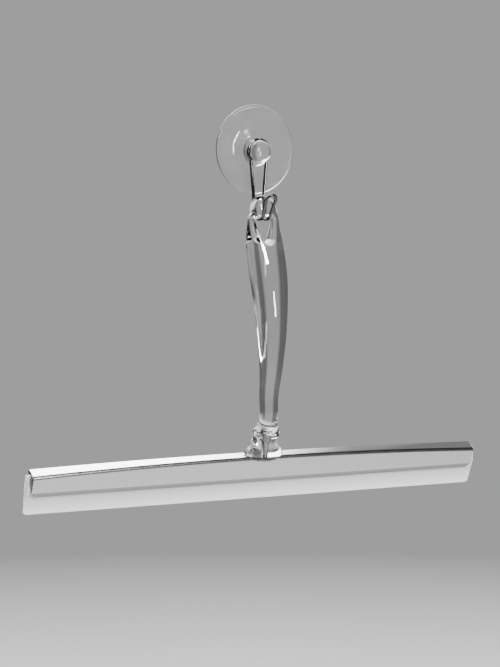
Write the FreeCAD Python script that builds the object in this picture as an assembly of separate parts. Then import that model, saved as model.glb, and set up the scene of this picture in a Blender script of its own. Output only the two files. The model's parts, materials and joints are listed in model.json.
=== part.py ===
import FreeCAD, Part
import math
import os

# Shower and window squeegee that hangs from a wire hook on a suction cup.
#
# Millimetres, +Z up, +X along the head. The wall is the plane Y = 0 and the whole object is in
# front of it, at -Y. The origin is the middle of the suction cup's face on the wall.
#
# Head frame: the blade, its channel and the foot are drawn upright, with the wiping edge on the
# local X axis, the front at local -Y and local Z up through the middle of the head. Then they lean
# back as one, so that the wiping edge is the nearest thing to the wall below the cup.

V = FreeCAD.Vector

# ---------------------------------------------------------------- driving sizes

# Suction cup
cup_dia = 53.0
cup_land = 2.4           # width of the ring that seals on the wall
cup_rim_thick = 1.0
cup_hollow = 2.0         # depth of the vacuum space
cup_bulge = 0.35         # how far the back of the disc stands proud of a straight cone
crown_height = 4.0       # wall to the flat that the wire ring lies on
crown_lip = 1.1          # how far that flat stands out past the knob
hub_drop = 1.5           # the load pulls the soft hub a little down
neck_dia = 11.2
knob_lip = 1.3           # how far the knob stands out past the neck, to keep the ring on
knob_height = 4.6
knob_edge = 0.9          # straight part of the knob's rim

# Wire hook
wire_dia = 2.0
ring_play = 0.6          # radial play of the wire ring round the neck
ring_end_play = 0.2      # play between the ring and the crown, and the ring and the knob
keyhole_radius = 2.5     # reverse bend where the ring runs into the legs
leg_gap_low = 4.4        # between the two wires' centres at the bottom of the hook
leg_spread = 0.09        # how much each leg moves outwards per millimetre of height
hook_drop = 40.3         # neck centre down to the wire's centre at the bottom of the hook
hook_radius = 5.0
hook_lean = 28.0         # degrees that the open end leans away from the wall
hook_tip_rise = 13.4     # length of the open end, from the bend to its closed tip

# Handle
eye_width = 11.8         # hanging eye at its wide upper end
eye_height = 15.0
eye_low_radius = 3.3
eye_corner = 2.6
eye_play = 0.75          # wire to the bar above the eye
eye_flare = 0.78         # how fast the eye opens towards its faces
eye_straight = 1.4       # half of the depth over which the eye doesn't open
bar_play = 0.85          # faces of the bar to the wire before and behind it
stem_dia = 11.0
flare_dia = 15.6
flare_height = 7.0
flare_edge = 0.8
flare_belly = 0.62       # how far the hollow flare stands out of the stem at half its height
spigot_dia = 9.0
spigot_length = 6.0

# Head
head_lean = 16.0         # degrees between the head's middle plane and the wall
edge_from_wall = 2.8     # the free-hanging wiping edge to the wall
edge_drop = 208.3        # cup centre down to the wiping edge

# Blade channel, a folded sheet
channel_length = 305.0
sheet = 0.8
lip_low = 11.3           # wiping edge up to the lower edge of the sheet
lip_high = 14.0          # wiping edge up to the fold where the flat faces begin
lip_half = 2.35          # half thickness over the sheet's lower edge
fold_half = 3.2          # half thickness at the fold
face_slope = 0.093       # how fast the faces spread upwards
crown_level = 28.1       # wiping edge up to the crown at mid length
front_sag = 4.1          # how much lower the front crease is at the ends
back_sag = 1.6           # how much lower the back crease is at the ends
corner_radius = 3.0      # lower corners of the channel's ends

# Blade
blade_overhang = 2.5     # how far the blade stands out past each end of the channel
edge_half = 0.5          # half thickness of the wiping edge
neck_height = 0.9        # height of the narrow neck between the lips
shoulder_rise = 0.8      # fold of the sheet up to where the root is full
root_step = 2.0          # how much lower the root's front top corner is than its back one
root_set_back = 1.8      # how far that corner stands back from the root's front face below it
root_round = 1.0
blade_corner = 2.0
blade_side_play = 0.2    # blade to the inside of the sheet
blade_top_play = 0.2     # blade to the screw's head
packing_play = 0.3       # blade to the packing strips

# Packing strips in the crown of the channel, one each side of the screw
packing_length = 95.0
packing_side_play = 0.15
packing_gap = 1.0        # washer to each strip

# Foot
foot_length = 25.0
foot_depth = 15.4
foot_height = 14.4       # channel's crown up to the foot's rim
foot_rim_dia = 15.8
foot_band = 1.4          # height of the straight rim
foot_collar = 1.5        # height of the cone between the waist and the rim
foot_waist_dia = 14.2
foot_skirt_rise = 0.5    # channel's crown up to the widest level of the skirt
foot_apron = 4.7         # how far the rounded skirt reaches below that level

# Fixing: one M3 screw from inside the channel into a plated brass insert
screw_dia = 3.0
screw_end_play = 0.2     # screw's end to the end of the insert
head_dia = 5.5
head_height = 2.0
socket_across = 2.0      # hexagon key size
socket_depth = 1.1
washer_dia = 6.0
washer_thick = 0.5
clearance_hole = 3.4
insert_dia = 4.6
insert_length = 6.5
thread_play = 0.02

# ---------------------------------------------------------------- derived places

knob_dia = neck_dia + 2 * knob_lip
crown_dia = knob_dia + 2 * crown_lip
ring_y = -(crown_height + ring_end_play + wire_dia / 2)
knob_y = ring_y - wire_dia / 2 - ring_end_play
ring_radius = neck_dia / 2 + ring_play + wire_dia / 2
neck_z = -hub_drop

bend_y = ring_y - hook_radius
bend_low_z = neck_z - hook_drop
bend_z = bend_low_z + hook_radius
eye_top_z = bend_low_z + wire_dia / 2 + eye_play
eye_low_z = eye_top_z - eye_height
bar_thickness = 2 * (hook_radius - wire_dia / 2 - bar_play)

washer_level = crown_level - sheet - washer_thick
head_level = washer_level - head_height
foot_top = crown_level + foot_height
foot_waist_level = foot_top - foot_band - foot_collar
foot_skirt_level = crown_level + foot_skirt_rise
insert_low = foot_top - spigot_length
screw_length = insert_low + insert_length - screw_end_play - washer_level

blade_length = channel_length + 2 * blade_overhang
root_half = fold_half - sheet - blade_side_play
neck_half = lip_half - sheet - blade_side_play
root_back = head_level - blade_top_play
root_front = root_back - root_step
root_corner = root_half - root_set_back

head_place = FreeCAD.Placement(
    V(0, -edge_from_wall, -edge_drop), FreeCAD.Rotation(V(1, 0, 0), head_lean)
)

# Grip sections: share of the way from the stem up to the eye, bow away from the wall off the
# straight line between them, width and thickness
grip_sections = [
    (0.094, 0.5, 11.5, 11.3),
    (0.229, 3.1, 13.3, 12.1),
    (0.374, 5.2, 16.4, 13.3),
    (0.518, 6.0, 19.3, 14.7),
    (0.663, 5.4, 21.9, 16.0),
    (0.798, 3.7, 24.3, 16.2),
    (0.913, 1.6, 25.0, 14.4),
]

# Sections beside the eye and through the bar that hangs in the hook: height over the hook's bend,
# depth in front of it, width, and how much thicker than the bar
bar_sections = [
    (-18.2, 1.8, 24.4, 5.5),
    (-10.2, 0.6, 22.6, 2.9),
    (-3.2, 0.1, 20.4, 0.7),
    (2.8, 0.0, 17.6, 0.0),
    (7.2, 0.0, 12.6, -1.1),
    (9.2, 0.0, 6.4, -3.1),
]


# ---------------------------------------------------------------- helpers

def polygon(points):
    """Closed wire through the points."""
    return Part.makePolygon(points + [points[0]])


def arc_about(centre, start, end):
    """Arc from start to end about a centre, the short way round."""
    radius = (start - centre).Length
    middle = (start - centre) + (end - centre)
    middle.normalize()
    return Part.Arc(start, centre + middle * radius, end).toShape()


def in_head(shape):
    """Put a shape that was drawn in the head frame in its leaning place."""
    placed = shape.copy()
    placed.Placement = head_place.multiply(placed.Placement)
    return placed


def upright(radius, low, high):
    """Cylinder on the head frame's middle axis, between two levels."""
    return Part.makeCylinder(radius, high - low, V(0, 0, low))


def save(name, shape):
    """Write one sub-part."""
    shape.exportStep("parts/" + name + ".step")


# ---------------------------------------------------------------- suction cup

def suction_cup():
    """Soft disc with a shallow hollow, a neck for the wire ring and a mushroom knob."""
    radius = cup_dia / 2
    outline = Part.Wire([
        Part.LineSegment(V(radius - cup_land, 0, 0), V(radius, 0, 0)).toShape(),
        Part.LineSegment(V(radius, 0, 0), V(radius, -cup_rim_thick, 0)).toShape(),
        Part.Arc(
            V(radius, -cup_rim_thick, 0),
            V((radius + crown_dia / 2) / 2, -(cup_rim_thick + crown_height) / 2 + cup_bulge, 0),
            V(crown_dia / 2, -crown_height, 0),
        ).toShape(),
        Part.LineSegment(V(crown_dia / 2, -crown_height, 0), V(0, -crown_height, 0)).toShape(),
        Part.LineSegment(V(0, -crown_height, 0), V(0, -cup_hollow, 0)).toShape(),
        Part.LineSegment(V(0, -cup_hollow, 0), V(radius - cup_land, 0, 0)).toShape(),
    ])
    disc = Part.Face(outline).revolve(V(0, 0, 0), V(0, 1, 0), 360)

    knob_front = knob_y - knob_height
    knob_side = knob_y - knob_edge
    cap_rise = knob_side - knob_front
    cap_radius = ((knob_dia / 2) ** 2 + cap_rise ** 2) / (2 * cap_rise)
    root_y = -(cup_hollow + crown_height) / 2
    hub_outline = Part.Wire([
        Part.LineSegment(V(0, root_y, 0), V(neck_dia / 2, root_y, 0)).toShape(),
        Part.LineSegment(V(neck_dia / 2, root_y, 0), V(neck_dia / 2, knob_y, 0)).toShape(),
        Part.LineSegment(V(neck_dia / 2, knob_y, 0), V(knob_dia / 2, knob_y, 0)).toShape(),
        Part.LineSegment(V(knob_dia / 2, knob_y, 0), V(knob_dia / 2, knob_side, 0)).toShape(),
        arc_about(V(0, knob_front + cap_radius, 0), V(knob_dia / 2, knob_side, 0), V(0, knob_front, 0)),
        Part.LineSegment(V(0, knob_front, 0), V(0, root_y, 0)).toShape(),
    ])
    hub = Part.Face(hub_outline).revolve(V(0, 0, 0), V(0, 1, 0), 360)
    hub.translate(V(0, 0, neck_z))
    return disc.fuse(hub)


# ---------------------------------------------------------------- wire hook

def wire_hook():
    """One wire bent double: a ring round the neck, two legs, the hook and its closed tip."""
    up = V(leg_spread, 0, 1)
    up.normalize()
    out = V(1, 0, -leg_spread)
    out.normalize()
    away = V(0, -1, 0)
    lean = math.radians(hook_lean)

    # The bend lies in the plane of its leg
    low = V(leg_gap_low / 2, bend_y, bend_low_z)
    centre = low + up * hook_radius
    back = centre - away * hook_radius
    front = centre + (away * math.cos(lean) - up * math.sin(lean)) * hook_radius

    # Ring, and the reverse bend from the ring into the leg
    ring = V(0, ring_y, neck_z)
    reach = ring_radius + keyhole_radius
    offset = back + out * keyhole_radius - ring
    along = offset.dot(up)
    rise = -along - math.sqrt(along ** 2 - offset.Length ** 2 + reach ** 2)
    keyhole = ring + offset + up * rise
    side = keyhole - ring
    side.normalize()
    ring_top = ring + V(0, 0, ring_radius)
    ring_end = ring + side * ring_radius
    ring_side = ring + V(ring_radius, 0, 0)
    leg_top = keyhole - out * keyhole_radius

    # Closed tip: a round bend tangent to both open ends
    rising = away * math.sin(lean) + up * math.cos(lean)
    straight = V(0, rising.y, rising.z)
    straight.normalize()
    spread = math.asin(rising.x)
    tip_level = (hook_tip_rise - front.x * math.cos(spread)) / (1 + math.sin(spread))
    tip_centre = V(0, front.y, front.z) + straight * tip_level
    tip_radius = (front.x + tip_level * math.tan(spread)) * math.cos(spread)
    tip_start = tip_centre + V(math.cos(spread), 0, 0) * tip_radius - straight * math.sin(spread) * tip_radius
    tip_side = tip_centre + V(1, 0, 0) * math.cos(0.6) * tip_radius + straight * math.sin(0.6) * tip_radius
    tip_top = tip_centre + straight * tip_radius

    path = Part.Wire([
        Part.Arc(ring_top, ring_side, ring_end).toShape(),
        arc_about(keyhole, ring_end, leg_top),
        Part.LineSegment(leg_top, back).toShape(),
        Part.Arc(back, low, front).toShape(),
        Part.LineSegment(front, tip_start).toShape(),
        Part.Arc(tip_start, tip_side, tip_top).toShape(),
    ])
    section = Part.Wire(Part.makeCircle(wire_dia / 2, ring_top, V(1, 0, 0)))
    half = path.makePipeShell([section], True, False)
    return half.fuse(half.mirror(V(0, 0, 0), V(1, 0, 0)))


# ---------------------------------------------------------------- handle

def oval(centre, axis, width, thickness):
    """Oval section across an axis, with its width along X."""
    curve = Part.Ellipse(V(0, 0, 0), width / 2, thickness / 2)
    across = axis.cross(V(1, 0, 0))
    across.normalize()
    turn = FreeCAD.Rotation(V(1, 0, 0), across, axis, "ZXY")
    edge = curve.toShape()
    edge.Placement = FreeCAD.Placement(centre, turn)
    return Part.Wire(edge)


def eye_outline(grow, y):
    """Outline of the hanging eye: wide and flat above, narrow and round below."""
    half = eye_width / 2 + grow
    top = eye_top_z + grow
    corner = eye_corner + grow
    low_radius = eye_low_radius + grow
    low_centre = V(0, y, eye_low_z + eye_low_radius)
    corner_centre = V(half - corner, y, top - corner)
    # The side is the outer tangent of the corner and of the low end
    gap = corner_centre - low_centre
    angle = math.atan2(gap.z, gap.x) - math.pi / 2 + math.asin((corner - low_radius) / gap.Length)
    side = V(math.cos(angle), 0, math.sin(angle))
    high = corner_centre + side * corner
    low = low_centre + side * low_radius
    corner_middle = V(1, 0, 1) * (corner * math.sqrt(0.5))
    flat_end = V(half - corner, y, top)

    def mirrored(point):
        return V(-point.x, point.y, point.z)

    return Part.Wire([
        Part.LineSegment(mirrored(flat_end), flat_end).toShape(),
        Part.Arc(flat_end, corner_centre + corner_middle, high).toShape(),
        Part.LineSegment(high, low).toShape(),
        Part.Arc(low, low_centre - V(0, 0, low_radius), mirrored(low)).toShape(),
        Part.LineSegment(mirrored(low), mirrored(high)).toShape(),
        Part.Arc(mirrored(high), mirrored(corner_centre + corner_middle), mirrored(flat_end)).toShape(),
    ])


def eye_cutter():
    """The eye goes through from front to back and opens towards both faces."""
    reach = 8.0
    flare = (reach - eye_straight) * eye_flare
    straight = Part.Face(eye_outline(0, bend_y - eye_straight)).extrude(V(0, 2 * eye_straight, 0))
    cones = []
    for side in (-1, 1):
        narrow = eye_outline(0, bend_y + side * eye_straight)
        wide = eye_outline(flare, bend_y + side * reach)
        cones.append(Part.makeLoft([narrow, wide], True, True))
    return straight.fuse(cones)


def handle():
    """Clear moulding: grip, hanging eye, stem with a flared end and the spigot for the foot."""
    stem_base = head_place.multVec(V(0, 0, foot_top + 2.0))
    stem_high = head_place.multVec(V(0, 0, foot_top + flare_height + 2.0))
    centres = [stem_base, stem_high]
    sizes = [(stem_dia + 0.02, stem_dia), (stem_dia + 0.02, stem_dia)]
    bend = V(0, bend_y, bend_z)
    grip_top = bend + V(0, -bar_sections[0][1], bar_sections[0][0])
    for share, bow, width, thickness in grip_sections:
        centres.append(stem_high + (grip_top - stem_high) * share - V(0, bow, 0))
        sizes.append((width, thickness))
    for height, depth, width, extra in bar_sections:
        centres.append(bend + V(0, -depth, height))
        sizes.append((width, bar_thickness + extra))
    wires = []
    for i, centre in enumerate(centres):
        below = centres[max(i - 1, 0)]
        above = centres[min(i + 1, len(centres) - 1)]
        axis = above - below
        axis.normalize()
        wires.append(oval(centre, axis, sizes[i][0], sizes[i][1]))
    grip = Part.makeLoft(wires, True, False)

    flare_radius = flare_dia / 2
    stem_radius = stem_dia / 2
    spigot_low = foot_top - spigot_length
    flare_top = foot_top + flare_height
    outline = Part.Wire([
        Part.LineSegment(V(0, 0, spigot_low), V(spigot_dia / 2, 0, spigot_low)).toShape(),
        Part.LineSegment(V(spigot_dia / 2, 0, spigot_low), V(spigot_dia / 2, 0, foot_top)).toShape(),
        Part.LineSegment(V(spigot_dia / 2, 0, foot_top), V(flare_radius, 0, foot_top)).toShape(),
        Part.LineSegment(V(flare_radius, 0, foot_top), V(flare_radius, 0, foot_top + flare_edge)).toShape(),
        Part.Arc(
            V(flare_radius, 0, foot_top + flare_edge),
            V(stem_radius + flare_belly, 0, foot_top + flare_height / 2),
            V(stem_radius, 0, flare_top),
        ).toShape(),
        Part.LineSegment(V(stem_radius, 0, flare_top), V(0, 0, flare_top)).toShape(),
        Part.LineSegment(V(0, 0, flare_top), V(0, 0, spigot_low)).toShape(),
    ])
    end = Part.Face(outline).revolve(V(0, 0, 0), V(0, 0, 1), 360)
    bore = upright(insert_dia / 2, insert_low, insert_low + insert_length)
    body = grip.fuse(in_head(end))
    return body.cut([in_head(bore), eye_cutter()])


def handle_insert():
    """Threaded insert in the end of the spigot."""
    body = upright(insert_dia / 2, insert_low, insert_low + insert_length)
    thread = upright(screw_dia / 2 + thread_play, insert_low, insert_low + insert_length)
    return body.cut(thread)


# ---------------------------------------------------------------- channel, packing and blade

def wedge_wire(side, half_length, inset, low):
    """Outline of one sloping face: a straight foot and an arched top. side is -1 at the front."""
    sag = front_sag if side < 0 else back_sag
    top_middle = crown_level - inset
    top_end = top_middle - sag * (2 * half_length / channel_length) ** 2

    def on_face(x, level):
        half = fold_half - inset + face_slope * (level - lip_high)
        return V(x, side * half, level)

    return Part.Wire([
        Part.LineSegment(on_face(-half_length, low), on_face(half_length, low)).toShape(),
        Part.LineSegment(on_face(half_length, low), on_face(half_length, top_end)).toShape(),
        Part.Arc(
            on_face(half_length, top_end), on_face(0, top_middle), on_face(-half_length, top_end)
        ).toShape(),
        Part.LineSegment(on_face(-half_length, top_end), on_face(-half_length, low)).toShape(),
    ])


def wedge(half_length, inset, low):
    """Solid between the two sloping faces, moved in by an inset, with the arched crown."""
    front = wedge_wire(-1, half_length, inset, low)
    back = wedge_wire(1, half_length, inset, low)
    return Part.makeLoft([front, back], True, True)


def lips(half_length, inset, low):
    """Solid between the two turned-in lips, moved in by an inset."""
    slope = (fold_half - lip_half) / (lip_high - lip_low)
    low_half = lip_half - inset - slope * (lip_low - low)
    section = polygon([
        V(-half_length, -(fold_half - inset), lip_high),
        V(-half_length, -low_half, low),
        V(-half_length, low_half, low),
        V(-half_length, fold_half - inset, lip_high),
    ])
    return Part.Face(section).extrude(V(2 * half_length, 0, 0))


def rounded_ends(length, low, high, radius):
    """Block as deep as the head, with both lower corners rounded in the front view."""
    half = length / 2
    y = -20.0
    middle = radius * (1 - math.sqrt(0.5))
    outline = Part.Wire([
        Part.LineSegment(V(-half + radius, y, low), V(half - radius, y, low)).toShape(),
        Part.Arc(
            V(half - radius, y, low), V(half - middle, y, low + middle), V(half, y, low + radius)
        ).toShape(),
        Part.LineSegment(V(half, y, low + radius), V(half, y, high)).toShape(),
        Part.LineSegment(V(half, y, high), V(-half, y, high)).toShape(),
        Part.LineSegment(V(-half, y, high), V(-half, y, low + radius)).toShape(),
        Part.Arc(
            V(-half, y, low + radius), V(-half + middle, y, low + middle), V(-half + radius, y, low)
        ).toShape(),
    ])
    return Part.Face(outline).extrude(V(0, -2 * y, 0))


def blade_channel():
    """Folded sheet: crown, two sloping faces and the lips that hold the blade's root."""
    half = channel_length / 2
    outer = wedge(half, 0, lip_high).fuse(lips(half, 0, lip_low))
    inner = wedge(half + 1, sheet, lip_high).fuse(lips(half + 1, sheet, lip_low - 1))
    trimmed = outer.cut(inner).common(rounded_ends(channel_length, lip_low, crown_level + 1, corner_radius))
    hole = upright(clearance_hole / 2, crown_level - 2 * sheet, crown_level + sheet)
    return in_head(trimmed.cut(hole))


def above_blade(half_length):
    """Space above the blade's root, from which the packing strips are taken."""
    slope = root_step / (root_half + root_corner)
    reach = fold_half + face_slope * crown_level
    top = root_back + packing_play
    section = polygon([
        V(-half_length, -reach, top - slope * (root_half + reach)),
        V(-half_length, reach, top - slope * (root_half - reach)),
        V(-half_length, reach, crown_level + 5),
        V(-half_length, -reach, crown_level + 5),
    ])
    return Part.Face(section).extrude(V(2 * half_length, 0, 0))


def packing_strips():
    """Two strips in the crown that carry the handle's push into the channel."""
    near = washer_dia / 2 + packing_gap
    half = near + packing_length
    filler = wedge(half, sheet, lip_high).common(above_blade(half))
    sides = fold_half - sheet + face_slope * (crown_level - front_sag - lip_high) - packing_side_play
    strips = []
    for direction in (-1, 1):
        start = near if direction > 0 else -half
        span = Part.makeBox(packing_length, 2 * sides, 20, V(start, -sides, lip_high))
        strips.append(in_head(filler.common(span)))
    return Part.makeCompound(strips)


def squeegee_blade():
    """Flexible strip: thin wiping edge, neck between the lips and a thick root."""
    section = polygon([
        V(0, -edge_half, 0),
        V(0, edge_half, 0),
        V(0, neck_half, lip_low),
        V(0, neck_half, lip_low + neck_height),
        V(0, root_half, lip_high + shoulder_rise),
        V(0, root_half, root_back),
        V(0, -root_corner, root_front),
        V(0, -root_half, lip_high + shoulder_rise),
        V(0, -neck_half, lip_low + neck_height),
        V(0, -neck_half, lip_low),
    ])
    strip = Part.Face(section).extrude(V(blade_length, 0, 0))
    strip.translate(V(-blade_length / 2, 0, 0))
    top_edges = []
    for edge in strip.Edges:
        centre = edge.CenterOfMass
        if edge.Length > blade_length / 2 and centre.z > root_front - 0.1:
            top_edges.append(edge)
    rounded = strip.makeFillet(root_round, top_edges)
    return in_head(rounded.common(rounded_ends(blade_length, 0, crown_level, blade_corner)))


# ---------------------------------------------------------------- foot and its fixing

def foot():
    """Clear saddle between the stem and the channel, with a round-edged skirt over both faces."""
    skirt_x = foot_length / 2
    skirt_y = foot_depth / 2
    rim = foot_rim_dia / 2
    waist = foot_waist_dia / 2
    sections = []
    for degrees in (66, 48, 28, 10):
        angle = math.radians(degrees)
        level = foot_skirt_level - foot_apron * math.sin(angle)
        sections.append((level, skirt_x * math.cos(angle), skirt_y * math.cos(angle)))
    sections.append((foot_skirt_level + 1.6, skirt_x - 0.4, skirt_y - 0.1))
    sections.append((foot_skirt_level + 5.5, (skirt_x + waist) / 2 - 0.6, skirt_y - 0.4))
    sections.append((foot_waist_level, waist + 0.02, waist))
    wires = []
    for level, half_width, half_depth in sections:
        wires.append(oval(V(0, 0, level), V(0, 0, 1), 2 * half_width, 2 * half_depth))
    bell = Part.makeLoft(wires, True, False)
    collar = Part.makeCone(waist - 0.02, rim, foot_collar + 0.1, V(0, 0, foot_waist_level - 0.1))
    band = upright(rim, foot_top - foot_band, foot_top)
    body = bell.fuse([collar, band])
    seat = wedge(skirt_x + 5, 0, lip_high)
    socket = upright(spigot_dia / 2, foot_top - spigot_length, foot_top)
    hole = upright(clearance_hole / 2, crown_level - 1, foot_top)
    return in_head(body.cut([seat, socket, hole]))


def foot_screw():
    """Low-head M3 screw with a hexagon socket, its head inside the channel."""
    head = upright(head_dia / 2, head_level, washer_level)
    shank = upright(screw_dia / 2, washer_level, washer_level + screw_length)
    corner = socket_across / math.sqrt(3)
    corners = []
    for i in range(6):
        angle = math.radians(60 * i)
        corners.append(V(corner * math.cos(angle), corner * math.sin(angle), head_level))
    socket = Part.Face(polygon(corners)).extrude(V(0, 0, socket_depth))
    return in_head(head.fuse(shank).cut(socket))


def screw_washer():
    """Washer between the screw's head and the crown of the channel."""
    ring = upright(washer_dia / 2, washer_level, washer_level + washer_thick)
    return in_head(ring.cut(upright(screw_dia / 2 + 0.1, washer_level, washer_level + washer_thick)))


# ---------------------------------------------------------------- build

os.makedirs("parts", exist_ok=True)

save("suction_cup", suction_cup())
save("wire_hook", wire_hook())
save("handle", handle())
save("handle_insert", in_head(handle_insert()))
save("handle_foot", foot())
save("foot_screw", foot_screw())
save("screw_washer", screw_washer())
save("blade_channel", blade_channel())
save("packing_strips", packing_strips())
save("squeegee_blade", squeegee_blade())
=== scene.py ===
# %% [markdown]
# # A clear shower squeegee, hung by a wire hook from a suction cup
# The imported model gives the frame: where every piece is, which body it moves with and where the
# joints are. This script keeps that frame and makes the visible surface of each piece around it,
# with its finish. Lengths are in metres in Blender, so sizes written here in millimetres are
# multiplied by MM.

# %% Load the frame
import json
import math

import bmesh
import bpy
import numpy as np
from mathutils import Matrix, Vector


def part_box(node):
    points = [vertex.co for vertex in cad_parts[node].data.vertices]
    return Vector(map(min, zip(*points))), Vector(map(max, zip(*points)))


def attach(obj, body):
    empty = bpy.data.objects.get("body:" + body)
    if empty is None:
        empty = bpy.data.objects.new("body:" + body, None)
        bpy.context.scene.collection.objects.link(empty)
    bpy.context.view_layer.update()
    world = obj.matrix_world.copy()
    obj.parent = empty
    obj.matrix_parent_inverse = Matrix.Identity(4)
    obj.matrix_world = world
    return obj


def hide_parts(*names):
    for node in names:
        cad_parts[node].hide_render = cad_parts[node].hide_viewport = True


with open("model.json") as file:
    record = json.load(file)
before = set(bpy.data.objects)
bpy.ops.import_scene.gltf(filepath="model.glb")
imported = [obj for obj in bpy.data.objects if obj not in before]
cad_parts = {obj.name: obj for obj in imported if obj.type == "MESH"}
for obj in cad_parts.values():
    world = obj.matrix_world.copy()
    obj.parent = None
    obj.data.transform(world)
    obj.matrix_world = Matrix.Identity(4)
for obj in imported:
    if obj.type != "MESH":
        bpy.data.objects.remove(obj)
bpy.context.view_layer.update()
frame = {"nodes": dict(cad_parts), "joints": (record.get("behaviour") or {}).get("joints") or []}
MM = 0.001
ML_PER_CUBIC_METRE = 1e6
joints = {joint["name"]: joint for joint in frame["joints"]}

# %% [markdown]
# ## The camera
# A long lens far away keeps the head's two ends nearly the same size. The camera stands a little
# to the left of the object and almost level with the cup, so that the head is seen from above.
# It could be aimed with a constraint, but a rotation worked out from its two angles is simpler.

# %% Camera
VIEW_AZIMUTH = math.radians(-30.8)
VIEW_ELEVATION = math.radians(3.5)
VIEW_DISTANCE = 1.491
LENS_MM = 134.9
aim = Vector((-0.0046, -0.0030, -0.1097))
back = Vector((
    math.sin(VIEW_AZIMUTH) * math.cos(VIEW_ELEVATION),
    -math.cos(VIEW_AZIMUTH) * math.cos(VIEW_ELEVATION),
    math.sin(VIEW_ELEVATION),
))
camera_data = bpy.data.cameras.new("camera")
camera_data.sensor_width = 36.0
camera_data.lens = LENS_MM
camera_data.clip_start = 0.01
camera = bpy.data.objects.new("camera", camera_data)
camera.location = aim + back * VIEW_DISTANCE
camera.rotation_mode = "QUATERNION"
camera.rotation_quaternion = back.to_track_quat("Z", "Y")
bpy.context.scene.collection.objects.link(camera)
bpy.context.scene.camera = camera
bpy.context.scene.view_settings.look = "AgX - Medium High Contrast"
print("camera at", [round(v, 4) for v in camera.location])

# %% [markdown]
# ## Tools for surfaces
# Every new piece is a grid of points: rings one after another, or one outline carried along the
# head. These few functions turn such a grid into faces. Where two sheets meet, their rims have the
# same points, and welding makes one closed skin of them. Blender then turns every face outwards.


# %% From a grid of points to a mesh
def unit(vectors):
    """Vectors divided by their own lengths."""
    vectors = np.asarray(vectors, float)
    return vectors / np.linalg.norm(vectors, axis=-1, keepdims=True)


def grid_faces(rows, columns):
    """Quads between neighbouring rows of a grid, whose last column meets the first."""
    row = np.arange(rows - 1)[:, None] * columns
    column = np.arange(columns)[None, :]
    beside = (column + 1) % columns
    corners = [row + column, row + beside, row + columns + beside, row + columns + column]
    return np.stack(corners, -1).reshape(-1, 4)


def fan_faces(ring, middle):
    """Triangles from a ring of point numbers to one middle point."""
    return np.stack([ring, np.roll(ring, -1), np.full(len(ring), middle)], -1)


def strip_faces(one_side, other_side):
    """Quads between two equally long rows of point numbers."""
    corners = [one_side[:-1], one_side[1:], other_side[1:], other_side[:-1]]
    return np.stack(corners, -1)


def make_piece(name, points, faces, sharp_degrees=38, weld=0.0):
    """Mesh object from an array of points and a list of arrays of faces, smooth except over edges
    sharper than an angle. Points nearer to each other than weld are made one."""
    mesh = bpy.data.meshes.new(name)
    points = np.asarray(points, float).reshape(-1, 3)
    mesh.from_pydata(points.tolist(), [], [face for block in faces for face in block.tolist()])
    shell = bmesh.new()
    shell.from_mesh(mesh)
    if weld > 0:
        bmesh.ops.remove_doubles(shell, verts=shell.verts, dist=weld)
    bmesh.ops.recalc_face_normals(shell, faces=shell.faces)
    inside = shell.calc_volume(signed=True) * ML_PER_CUBIC_METRE
    shell.to_mesh(mesh)
    shell.free()
    mesh.shade_smooth()
    mesh.set_sharp_from_angle(angle=math.radians(sharp_degrees))
    piece = bpy.data.objects.new(name, mesh)
    bpy.context.scene.collection.objects.link(piece)
    print(f"{name}: {len(mesh.vertices)} points, {len(mesh.polygons)} faces, {inside:.2f} ml inside")
    return piece


def point_values(piece, name, values):
    """A number at each point of a piece, for its finish to read."""
    attribute = piece.data.attributes.new(name, "FLOAT", "POINT")
    attribute.data.foreach_set("value", np.asarray(values, np.float32).reshape(-1))


def bar_piece(name, rings):
    """Closed surface through one outline carried along a bar, with each end closed by quads between
    the outline's first half and its second."""
    rows, columns = rings.shape[:2]
    one_side = np.arange(columns // 2)
    other_side = np.arange(columns - 1, columns // 2 - 1, -1)
    end = strip_faces(one_side, other_side)
    faces = [grid_faces(rows, columns), end, end[:, ::-1] + (rows - 1) * columns]
    return make_piece(name, rings, faces, sharp_degrees=40)


def ring_piece(name, rings, sharp_degrees):
    """Closed surface through rings of points, with each end drawn in to the middle of its ring."""
    rows, columns = rings.shape[:2]
    points = np.concatenate([rings.reshape(-1, 3), rings[:1].mean(1), rings[-1:].mean(1)])
    first = np.arange(columns)
    last = (rows - 1) * columns + first
    faces = [
        grid_faces(rows, columns),
        fan_faces(first, rows * columns)[:, ::-1],
        fan_faces(last, rows * columns + 1),
    ]
    return make_piece(name, points, faces, sharp_degrees)


# %% [markdown]
# ## Tools for outlines
# Moulded and folded pieces have no knife edges, so an outline is given as a few corners, each
# with its own rounding. A corner is replaced by the arc that touches both of its sides. Sections
# given at a few stations are joined by a cubic spline, as a maker's flexible batten would.


# %% Rounded corners and smooth curves
def rounded_outline(corners, radii, steps=6):
    """Outline through corners (..., k, 2), each but the two ends rounded by an arc of its own radius.

    The arc touches both sides at A and B, radius * tan(turn / 2) from the corner C. It is followed
    by the blend (1-t)^2 A + 2t(1-t) C + t^2 B, which is near the true arc for turns under 90
    degrees. A corner of radius 0 stays sharp.
    """
    corners = np.asarray(corners, float)
    count = corners.shape[-2]
    t = np.linspace(0, 1, steps)[:, None]
    pieces = []
    for i in range(count):
        here = corners[..., i, :]
        if radii[i] == 0:
            pieces.append(here[..., None, :])
            continue
        to_last = unit(corners[..., i - 1, :] - here)
        to_next = unit(corners[..., i + 1, :] - here)
        cosine = np.clip((to_last * to_next).sum(-1), -1, 1)
        turn = math.pi - np.arccos(cosine)
        reach = (radii[i] * np.tan(turn / 2))[..., None]
        start = (here + to_last * reach)[..., None, :]
        end = (here + to_next * reach)[..., None, :]
        pieces.append((1 - t) ** 2 * start + 2 * t * (1 - t) * here[..., None, :] + t ** 2 * end)
    return np.concatenate(pieces, -2)


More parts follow.
